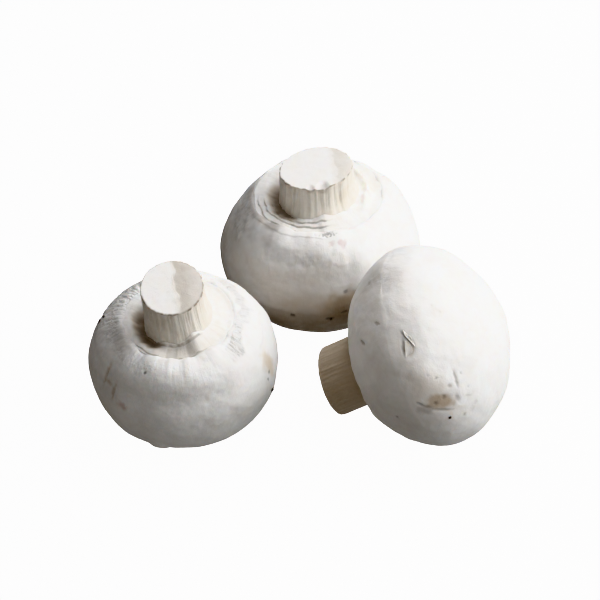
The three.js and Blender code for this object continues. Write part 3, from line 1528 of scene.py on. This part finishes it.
@dataclass(frozen=True)
class Flap:
    """A flap of torn skin: it hangs on its hinge line and stands up along its free edge.

    Each line is a few places on the cap, as turn and reach. lift and thickness are in millimetres.
    """

    hinge: Sequence[Tuple[float, float]]
    edge: Sequence[Tuple[float, float]]
    lift: float
    thickness: float = 0.22
    steps: int = 40
    across: int = 14

    def sheet(self, cap: Cap) -> Tuple[np.ndarray, np.ndarray]:
        """Makes the flap's closed sheet.

        Args:
            cap: the cap that it is torn from.

        Returns:
            Its points, in the mushroom's own frame, and its four-sided faces.
        """
        share = np.linspace(0.0, 1.0, self.steps)
        knots = np.linspace(0.0, 1.0, len(self.hinge))
        hinge, edge = (
            np.stack([np.interp(share, knots, [place[axis] for place in line]) for axis in (0, 1)], -1)
            for line in (self.hinge, self.edge)
        )
        out = np.linspace(0.0, 1.0, self.across)[None, :, None]
        taper = np.sin(math.pi * (0.04 + 0.92 * share)) ** 0.6
        middle = (hinge + edge)[:, None] / 2
        places = middle + ((hinge[:, None] * (1 - out) + edge[:, None] * out) - middle) * taper[:, None, None]
        skin, normal = cap.skin_at(places[..., 0], places[..., 1])
        rise = self.lift * taper[:, None] * np.linspace(0.0, 1.0, self.across) ** 1.4
        top = skin + normal * (rise + self.thickness * 0.35)[..., None]
        bottom = skin + normal * (rise - self.thickness * 0.65)[..., None]
        ring = np.concatenate([top, bottom[:, ::-1]], 1)
        count = ring.shape[1]
        index = np.arange(self.steps * count).reshape(self.steps, count)
        ahead = np.roll(index, -1, 1)
        sides = np.stack([index[:-1], index[1:], ahead[1:], ahead[:-1]], -1).reshape(-1, 4)
        ends = []
        for row, flip in ((index[0], False), (index[-1], True)):
            half = row[:self.across]
            back = row[self.across:][::-1]
            cap_faces = np.stack([half[:-1], half[1:], back[1:], back[:-1]], -1)
            ends.append(cap_faces[:, ::-1] if flip else cap_faces)
        return ring.reshape(-1, 3), np.concatenate([sides, *ends])


@dataclass
class Mushroom:
    """One mushroom: its cap, stem, veil, crumbs and torn flaps of skin."""

    name: str
    outline: Outline
    cap: Cap
    stem: Stem
    veil: Veil
    crumbs: Crumbs
    flaps: Sequence[Flap] = ()

    FLAP_TINT = 0.42

    def placement(self) -> Placement:
        """Finds where the mushroom lies from the frame's box of its cap.

        Returns:
            Its placement.
        """
        low, high = (np.array(corner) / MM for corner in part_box(f"{self.name}_cap"))
        turn = self.outline.tilt()
        plain = self.cap.plain().points.reshape(-1, 3) @ turn.T
        middle = (low + high) / 2 - (plain.min(0) + plain.max(0)) / 2
        return Placement(turn, np.array([middle[0], middle[1], high[2] - plain[:, 2].max()]))

    def build(self) -> None:
        """Builds the pieces."""
        self.cap.build()
        self.stem.build()
        self.veil.build()

    def dress(
        self,
        skin: bpy.types.Material,
        flesh: bpy.types.Material,
        veil: bpy.types.Material,
        peat: bpy.types.Material,
    ) -> None:
        """Puts the pieces in the scene.

        Args:
            skin: the cap's material.
            flesh: the stem's material.
            veil: the veil's material.
            peat: the crumbs' material.
        """
        placement = self.placement()
        # The edge of a torn skin: it stands up along a line round the stem and fades out beyond it; shade is
        # painted grey along its foot and, by inner_grey, on its lower inner side.
        self.cap.dress(self.name, placement, skin)
        self.stem.dress(self.name, placement, flesh)
        self.veil.dress(self.name, placement, veil)
        self.crumbs.dress(self.name, self.cap, placement, peat)
        if self.flaps:
            self.dress_flaps(placement, skin)
        LOG.info("%s mushroom placed at %s mm", self.name, np.round(placement.move, 1))

    def dress_flaps(self, placement: Placement, skin: bpy.types.Material) -> None:
        """Puts the torn flaps of skin in the scene.

        Args:
            placement: where the mushroom lies.
            skin: the cap's material.
        """
        sheet, faces = join([flap.sheet(self.cap) for flap in self.flaps])
        traits = {
            "grain": sheet,
            "paint": np.tile([*Tone.TAN.value, self.FLAP_TINT], (len(sheet), 1)),
            "shag": np.zeros(len(sheet)),
            "cut": np.zeros(len(sheet)),
            "silk": np.full(len(sheet), 0.3),
        }
        piece = make_piece(f"{self.name}_torn_skin", placement.to_table(sheet), [faces], traits)
        settle(piece, skin)


# --- The three mushrooms ---


def left_mushroom() -> Mushroom:
    """Describes the left mushroom, which stands on its crown and leans to the front.

    Returns:
        The mushroom, not yet built.
    """
    outline = Outline(
        radius=25.2, crown=21.3, margin=15.6, crown_fullness=2.2, margin_fullness=1.6,
        lip=15.1, mouth=13.6, sunk=2.4, skirt=2.4, top_radius=8.1, foot_radius=9.0, top=27.4,
        bend=(-0.05, -0.03), cut_slope=(0.0, 0.2), lean=7.5, heading=256,
    )
    marks = (
        Mark(214, 1.42, 0.5, 3.2, Tone.TAN, 0.6, 0.10, soft=1.2, ragged=0.5),
        Mark(219, 1.36, 1.2, 0.5, Tone.TAN, 0.55, 0.06, soft=1.2, ragged=0.5),
        Mark(225, 1.31, 0.5, 2.2, Tone.TAN, 0.6, 0.08, soft=1.2, ragged=0.5),
        Mark(233, 1.22, 1.5, 0.9, Tone.ROSE, 0.6, 0.05, soft=1.2, ragged=0.5),
        Mark(219, 1.30, 3.6, 4.2, Tone.GREY, 0.22, soft=1.4, ragged=0.4),
        Mark(341, 1.28, 2.0, 3.2, Tone.HONEY, 0.5, 0.05, soft=1.5, ragged=0.4),
        Mark(338, 1.2, 0.5, 0.5, Tone.SOIL_AND_SHADOW, 0.6, 0.1),
        Mark(334, 1.16, 0.3, 0.5, Tone.SOIL_AND_SHADOW, 0.7, 0.1),
        Mark(246, 1.71, 0.35, 0.45, Tone.SOIL_AND_SHADOW, 0.6, 0.15),
        # painted shade: a soft dark brown patch on the lip, spreading from the hollow of the torn veil
        Mark(204, 1.90, 4.0, 2.4, Tone.BRUISE_AND_SHADE, 0.45, 0.25, soft=1.7, ragged=0.25, shag=0.4),
        Mark(192, 1.80, 3.4, 2.6, Tone.GREY, 0.5, 0.1, soft=1.6, ragged=0.4, shag=0.6),
        Mark(155, 1.78, 9.0, 6.0, Tone.GREY, 0.16, soft=1.0, ragged=0.5, shag=0.75),
        Mark(228, 1.80, 6.0, 3.0, Tone.GREY, 0.12, soft=1.2, ragged=0.6, shag=0.3),
        Mark(165, 1.38, 4.0, 3.0, Tone.GREY, 0.3, soft=1.2, ragged=0.5, shag=0.5),
        Mark(254, 0.73, 2.2, 2.2, depth=-0.6, soft=1.2, ragged=0.2),
        Mark(262, 1.66, 8.0, 3.6, depth=-0.9, soft=2.0, ragged=0.0),
        Mark(300, 1.66, 8.0, 3.6, depth=-0.9, soft=2.0, ragged=0.0),
        Mark(285, 1.44, 5.0, 3.0, depth=0.25, soft=1.8, ragged=0.3),
    )
    tears = (
        Tear(18, 34, 1.50, 0.16, wander=0.06),
        Tear(150, 28, 1.45, 0.20, wander=0.08, inner_grey=0.15),
    )
    stains = (
        Stain(6, 40, 1.75, 1.90, Tone.GREY, 0.45, shag=0.6, fade=0.06, side_fade=15),
        Stain(330, 30, 0.7, 1.15, Tone.MOSS, 0.10),
        Stain(215, 40, 1.1, 1.5, Tone.GREY, 0.10),
    )
    return Mushroom(
        name="left",
        outline=outline,
        cap=Cap(outline, seed=11, lump=0.4, silk=0.022, marks=marks, tears=tears, stains=stains),
        stem=Stem(
            outline, seed=12,
            # the second facet is painted beige as shade
            facets=(Facet(heading=8, offset=1.0, fall=-0.03, tone=Tone.CREAM, strength=0.75),),
            flare=((-20, 60, 1.0),),
        ),
        veil=Veil(
            outline, seed=13,
            skirts=((10, 70, 2.2),),
            flush=((20, 80, 1.0), (110, 50, 1.0), (203, 40, 0.95), (285, 40, 0.5)),
            layers=((262, 42, 0.74, 0.8), (262, 36, 0.12, 0.25)),
            # painted shade: the front band of the veil is painted beige-grey
            marks=(Mark(268, 0.45, 7.5, 3.6, Tone.CREAM, 0.55, soft=1.2),),
            pockets=(Pocket(middle=203, half=24, depth=2.2, start=0.2, strength=0.75),),
        ),
        crumbs=Crumbs((Crumb(337, 0.94, 1.1), Crumb(169, 1.5, 1.2), Crumb(170, 1.62, 0.7)), seed=14),
    )


def rear_mushroom() -> Mushroom:
    """Describes the rear mushroom, the widest, which stands on its crown.

    Returns:
        The mushroom, not yet built.
    """
    outline = Outline(
        radius=28.8, crown=18.7, margin=19.3, crown_fullness=2.1, margin_fullness=1.45,
        lip=18.5, mouth=17.3, sunk=2.6, skirt=3.4, top_radius=10.2, foot_radius=10.9, top=28.9,
        bend=(0.0, 0.0), cut_slope=(0.08, -0.05), lean=3.4, heading=212,
    )
    marks = (
        Mark(282, 1.15, 5.5, 3.4, Tone.TAN, 0.75, soft=1.2, ragged=0.4),
        Mark(284, 1.02, 5.0, 3.0, Tone.BRUISE_AND_SHADE, 0.35, soft=1.4, ragged=0.4),
        Mark(233, 1.72, 4.0, 2.6, depth=-0.35, soft=1.8, ragged=0.3),
        Mark(246, 1.62, 5.0, 2.0, Tone.GREY, 0.2, 0.3, soft=1.6, ragged=0.3),
        Mark(262, 1.60, 3.6, 2.0, Tone.GREY, 0.15, 0.25, soft=1.6, ragged=0.3, shag=0.2),
        Mark(284, 1.62, 2.3, 2.6, Tone.PALE, 0.3, -0.12, soft=0.5, ragged=0.25),
        Mark(287, 1.78, 1.0, 1.0, Tone.ROSE, 0.5, 0.05, soft=1.0, ragged=0.6),
        Mark(279, 1.80, 0.8, 0.7, Tone.ROSE, 0.35, 0.05, soft=1.0, ragged=0.6),
        Mark(254, 0.97, 0.8, 0.6, Tone.SOIL_AND_SHADOW, 0.7, 0.12, ragged=0.5),
        Mark(274, 0.96, 1.1, 0.5, Tone.SOIL_AND_SHADOW, 0.7, 0.12, ragged=0.5),
        Mark(283, 1.02, 0.9, 0.4, Tone.SOIL_AND_SHADOW, 0.7, 0.12, ragged=0.5),
        Mark(285, 1.29, 0.6, 0.5, Tone.SOIL_AND_SHADOW, 0.45, 0.1, ragged=0.5),
        Mark(190, 1.7, 6.0, 4.0, Tone.GREY, 0.25, soft=1.2, ragged=0.5, shag=0.5),
        Mark(135, 1.55, 10.0, 6.0, Tone.GREY, 0.1, 0.7, soft=1.4, ragged=0.2, shag=0.25),
        Mark(278, 1.97, 2.0, 0.5, Tone.SOIL_AND_SHADOW, 0.55, 0.15, soft=0.8, ragged=0.9),
        Mark(225, 1.72, 9.0, 4.5, depth=-0.8, soft=2.0, ragged=0.0),
        Mark(252, 1.72, 10.0, 5.0, depth=-1.2, soft=2.0, ragged=0.0),
        Mark(285, 1.72, 10.0, 5.0, depth=-1.2, soft=2.0, ragged=0.0),
    )
    tears = (
        Tear(240, 30, 1.90, 0.10, wander=0.03, fade=0.1),
    )
    stains = (
        Stain(215, 45, 0.95, 1.35, Tone.TAN, 0.40, fade=0.35),
        # painted shade: the underside round the crown, which rests on the table, is painted dark brown
        Stain(245, 75, 0.0, 0.90, Tone.BRUISE_AND_SHADE, 0.80, fade=0.26, side_fade=45),
        Stain(285, 25, 0.7, 1.15, Tone.TAN, 0.5, fade=0.2),
        # painted shade: the lip on the left is painted grey, and brown towards the hollow beside the stem
        Stain(198, 30, 1.80, 2.4, Tone.GREY, 0.55, fade=0.20),
        Stain(198, 28, 1.92, 2.6, Tone.BRUISE_AND_SHADE, 0.40, fade=0.14),
    )
    return Mushroom(
        name="rear",
        outline=outline,
        cap=Cap(outline, seed=21, lump=0.55, silk=0.02, marks=marks, tears=tears, stains=stains),
        stem=Stem(
            outline, seed=22, flute=0.2,
            # the second facet is painted beige as shade
            facets=(Facet(heading=5, offset=5.0, fall=-0.02, tone=Tone.CREAM, strength=0.5),),
            flare=((-35, 70, 2.2),),
            nicks=(
                Mark(280, 1.0, 1.5, 1.1, Tone.BRUISE_AND_SHADE, 0.3, 0.6, soft=1.0, ragged=0.0),
                Mark(262, 1.0, 1.0, 0.8, Tone.BRUISE_AND_SHADE, 0.3, 0.4, soft=1.0, ragged=0.0),
            ),
        ),
        veil=Veil(
            outline, seed=23,
            skirts=((-10, 60, 1.6),),
            folds=((20, 38, 0.50, 1.5),),
            flush=((10, 90, 1.0), (110, 60, 1.0), (255, 50, 0.8), (190, 45, 0.85)),
            layers=((236, 44, 0.16, 0.35), (232, 40, 0.38, 0.4), (240, 38, 0.60, 0.35)),
            pockets=(Pocket(middle=195, half=26, depth=1.8, start=0.3, strength=0.75),),
        ),
        crumbs=Crumbs((Crumb(275, 0.95, 0.8),), seed=24),
    )


def right_mushroom() -> Mushroom:
    """Describes the right mushroom, which lies on the edge of its cap and the rim of its stem.

    Returns:
        The mushroom, not yet built.
    """
    outline = Outline(
        radius=27.1, crown=21.1, margin=16.9, crown_fullness=1.96, margin_fullness=1.53,
        lip=13.5, mouth=12.5, sunk=2.4, skirt=1.4, top_radius=9.7, foot_radius=9.7, top=29.5,
        bend=(-0.145, 0.043), cut_slope=(0.0, 0.0), lean=118.1, heading=170.9,
        lobes=((2, 0.012, 90), (3, 0.012, 120)),
    )
    marks = (
        Mark(273, 0.80, 6.0, 3.6, Tone.TAN, 0.28, soft=1.6, ragged=0.3, twist=24),
        Mark(263, 0.77, 3.5, 1.9, Tone.TAN, 0.75, 0.08, soft=0.9, ragged=0.25, twist=56),
        Mark(263, 0.91, 2.0, 1.4, Tone.BRUISE_AND_SHADE, 0.35, 0.05, soft=0.9, ragged=0.3, twist=57),
        Mark(258, 0.79, 2.9, 0.35, Tone.BRUISE_AND_SHADE, 0.5, 0.04, soft=0.9, ragged=0.2, twist=52),
        Mark(267, 0.914, 1.25, 0.35, Tone.SOIL_AND_SHADOW, 0.45, 0.08, soft=0.8, ragged=0.2, twist=35),
        Mark(264, 0.87, 1.1, 0.35, Tone.BRUISE_AND_SHADE, 0.35, 0.05, soft=0.8, ragged=0.2, twist=44),
        Mark(264, 0.814, 0.55, 0.45, Tone.BRUISE_AND_SHADE, 0.6, 0.08, soft=1.0, ragged=0.3),
        Mark(265, 0.733, 0.6, 0.45, Tone.BRUISE_AND_SHADE, 0.45, 0.08, soft=1.0, ragged=0.3),
        Mark(270, 0.598, 2.5, 0.38, Tone.SOIL_AND_SHADOW, 0.42, 0.15, soft=0.9, ragged=0.15, twist=-12),
        Mark(258, 0.658, 1.4, 0.5, Tone.GREY, 0.6, 0.10, soft=1.2, ragged=0.3, twist=-4),
        Mark(269, 0.668, 0.7, 0.45, Tone.BRUISE_AND_SHADE, 0.35, 0.08, soft=1.2, ragged=0.3, twist=53),
        Mark(281, 0.776, 0.35, 0.3, Tone.SOIL_AND_SHADOW, 0.3, 0.05),
        Mark(278, 0.731, 0.36, 0.36, Tone.SOIL_AND_SHADOW, 0.5, 0.05),
        Mark(272, 0.548, 0.35, 0.35, Tone.SOIL_AND_SHADOW, 0.35, 0.05),
        Mark(260, 0.546, 0.3, 0.3, Tone.SOIL_AND_SHADOW, 0.2, 0.03),
        Mark(254, 0.576, 0.3, 0.9, Tone.GREY, 0.4, 0.05, soft=1.2, twist=-49),
        Mark(244, 0.688, 0.4, 0.4, Tone.SOIL_AND_SHADOW, 0.35, 0.06, ragged=0.5),
        Mark(244, 0.571, 0.6, 0.5, Tone.GREY, 0.3, 0.03, soft=1.2),
        Mark(261, 1.287, 0.55, 0.45, Tone.SOIL_AND_SHADOW, 0.4, 0.06, ragged=0.4),
        Mark(317, 1.119, 0.87, 0.45, Tone.BRUISE_AND_SHADE, 0.45, 0.08, ragged=0.4, twist=60),
        Mark(346, 1.234, 0.6, 0.6, Tone.BRUISE_AND_SHADE, 0.3, 0.05, ragged=0.4),
        Mark(310, 1.372, 1.2, 0.45, Tone.BRUISE_AND_SHADE, 0.5, 0.12, ragged=0.3, twist=47),
        Mark(318, 0.566, 0.3, 0.3, Tone.SOIL_AND_SHADOW, 0.25, 0.04),
        Mark(322, 0.618, 0.3, 0.3, Tone.SOIL_AND_SHADOW, 0.25, 0.04),
        Mark(299, 0.842, 1.3, 2.0, Tone.TAN, 0.55, 0.10, soft=0.8, ragged=0.2, twist=70),
        # painted shadow: two thin dark lines on the cap under the free edges of the torn flaps
        Mark(305, 0.845, 2.2, 0.40, Tone.SOIL_AND_SHADOW, 0.45, 0.25, soft=0.7, ragged=0.1, twist=33),
        Mark(301, 0.885, 2.0, 0.35, Tone.SOIL_AND_SHADOW, 0.35, 0.20, soft=0.7, ragged=0.1, twist=-9),
        Mark(349, 1.04, 4.5, 5.0, Tone.GREY, 0.16, soft=1.4, ragged=0.6, shag=0.1),
        Mark(233, 1.35, 3.2, 5.4, depth=-0.3, soft=1.8, ragged=0.2),
    )
    tears = (
        Tear(345, 30, 0.96, 0.08, wander=0.07, fade=0.6, inner_grey=0.06),
    )
    stains = (
        # painted shade: the flank turned away from the lamps is tinted tan
        Stain(305, 45, 0.86, 1.30, Tone.TAN, 0.14, fade=0.34),
        # painted light: a paler strip along the inrolled margin on that side, where it catches light
        Stain(300, 60, 1.55, 2.0, Tone.PALE, 0.5, fade=0.20),
    )
    flaps = (
        Flap(hinge=((308, 0.846), (305, 0.812), (299.5, 0.793)),
             edge=((310, 0.862), (304.5, 0.845), (299, 0.805)), lift=0.55),
        Flap(hinge=((299, 0.807), (296, 0.835), (294.5, 0.885)),
             edge=((305.5, 0.869), (300.5, 0.872), (295, 0.890)), lift=0.40),
    )
    return Mushroom(
        name="right",
        outline=outline,
        cap=Cap(outline, seed=31, lump=0.45, silk=0.02, marks=marks, tears=tears, stains=stains),
        stem=Stem(outline, seed=32, flute=0.12, marks=(
            Mark(0, 0.5, 40.0, 14.0, Tone.TAN, 0.55, soft=0.8, ragged=0.2),
            Mark(180, 0.5, 40.0, 14.0, Tone.TAN, 0.55, soft=0.8, ragged=0.2),
        )),
        veil=Veil(outline, seed=33, skirts=((60, 60, 1.0),), pockets=(Pocket(300, 20, 2.0, start=0.4),)),
        crumbs=Crumbs((Crumb(250, 0.783, 0.72),), seed=34),
        flaps=flaps,
    )


# --- Studio ---


@dataclass(frozen=True)
class Lamp:
    """A soft square lamp: where it is and how wide, in metres, how bright, in watts, and its colour."""

    name: str
    place: Tuple[float, float, float]
    width: float
    power: float
    colour: Colour = (1.0, 1.0, 1.0)


@dataclass(frozen=True)
class Glow:
    """Soft light that comes back from one side of the room: the way to it, and its colour."""

    way: Tuple[float, float, float]
    colour: Colour


@dataclass
class Studio:
    """A pale table, soft lamps and the camera."""

    aim: Tuple[float, float, float] = (-0.00015, 0.00137, 0.0175)
    elevation: float = 40.0
    distance: float = 0.5
    lens: float = 108.0
    sensor: float = 36.0
    table_width: float = 4.0
    lamps: Sequence[Lamp] = (
        Lamp("side", (0.52, 0.02, 0.32), 0.45, 4.2, (1.0, 1.0, 0.995)),
        Lamp("back", (0.21, 0.27, 0.51), 0.50, 2.6, (0.99, 0.995, 1.0)),
        Lamp("window", (0.12, -0.24, 0.74), 0.70, 1.8, (0.985, 0.99, 1.0)),
        Lamp("front", (-0.05, -0.49, 0.36), 0.60, 0.16, (1.0, 0.88, 0.74)),
    )
    sky: Colour = (0.06, 0.06, 0.065)
    ground: Colour = (0.06, 0.052, 0.044)
    glows: Sequence[Glow] = (
        Glow((0.5, -0.62, -0.6), (0.42, 0.42, 0.41)),
        Glow((-0.93, -0.33, -0.15), (0.20, 0.18, 0.155)),
    )

    def build(self) -> None:
        """Makes the camera, the lamps, the light all round and the table."""
        self.make_camera()
        for lamp in self.lamps:
            self.make_lamp(lamp)
        self.make_surroundings()
        self.make_table()
        bpy.context.scene.view_settings.view_transform = "Khronos PBR Neutral"

    def make_camera(self) -> None:
        """Puts the camera in front of the mushrooms and above them."""
        data = bpy.data.cameras.new("camera")
        data.lens = self.lens
        data.sensor_width = self.sensor
        data.clip_start = 0.01
        camera = bpy.data.objects.new("camera", data)
        angle = math.radians(self.elevation)
        back = Vector((0.0, -math.cos(angle), math.sin(angle)))
        camera.location = Vector(self.aim) + back * self.distance
        camera.rotation_mode = "QUATERNION"
        camera.rotation_quaternion = (-back).to_track_quat("-Z", "Y")
        bpy.context.scene.collection.objects.link(camera)
        bpy.context.scene.camera = camera

    def make_lamp(self, lamp: Lamp) -> None:
        """Puts one lamp up, turned to the mushrooms.

        Args:
            lamp: the lamp.
        """
        data = bpy.data.lights.new(lamp.name, "AREA")
        data.size = lamp.width
        data.energy = lamp.power
        data.color = lamp.colour
        light = bpy.data.objects.new(lamp.name, data)
        light.location = lamp.place
        light.rotation_mode = "QUATERNION"
        light.rotation_quaternion = (Vector(self.aim) - light.location).to_track_quat("-Z", "Y")
        bpy.context.scene.collection.objects.link(light)

    def make_surroundings(self) -> None:
        """Lights the scene weakly from all round, less from below."""
        world = bpy.data.worlds.new("surroundings")
        world.use_nodes = True
        bpy.context.scene.world = world
        board = NodeBoard(world.node_tree)
        way = board.node("ShaderNodeTexCoord", {}, {}, "Generated")
        height = board.node("ShaderNodeSeparateXYZ", {}, {"Vector": way}, "Z")
        colour = board.mix(self.ground, self.sky, height.eased(-0.25, 0.35))
        for glow in self.glows:
            values = {0: way, 1: glow.way}
            near = board.node("ShaderNodeVectorMath", {"operation": "DOT_PRODUCT"}, values, "Value")
            colour = board.mix(colour, glow.colour, near.eased(0.25, 0.95))
        glow = board.node("ShaderNodeBackground", {}, {"Color": colour, "Strength": 1.0})
        ending = board.tree.nodes.new("ShaderNodeOutputWorld")
        board.feed(ending.inputs["Surface"], glow)

    def make_table(self) -> None:
        """Lays the table top under the mushrooms."""
        half = self.table_width / 2
        around = ((-half, -half), (half, -half), (half, half), (-half, half))
        corners = np.array([(x, y, -TABLE_GAP) for x, y in around])
        table = make_piece("table_top", corners, [np.array([[0, 1, 2, 3]])], {})
        table.data.materials.append(TableFinish().make())
        table.visible_diffuse = False
        table.visible_glossy = False


def main() -> None:
    """Builds the mushrooms and the studio, and notes the sizes."""
    logging.basicConfig(level=logging.INFO, format="%(name)s: %(message)s")
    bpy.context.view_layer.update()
    Studio().build()
    skin, flesh, veil = SKIN.make(), STEM_FLESH.make(), VEIL_SKIN.make()
    peat = PeatFinish().make()
    for mushroom in (left_mushroom(), rear_mushroom(), right_mushroom()):
        mushroom.build()
        mushroom.dress(skin, flesh, veil, peat)


if __name__ == "__main__":
    main()
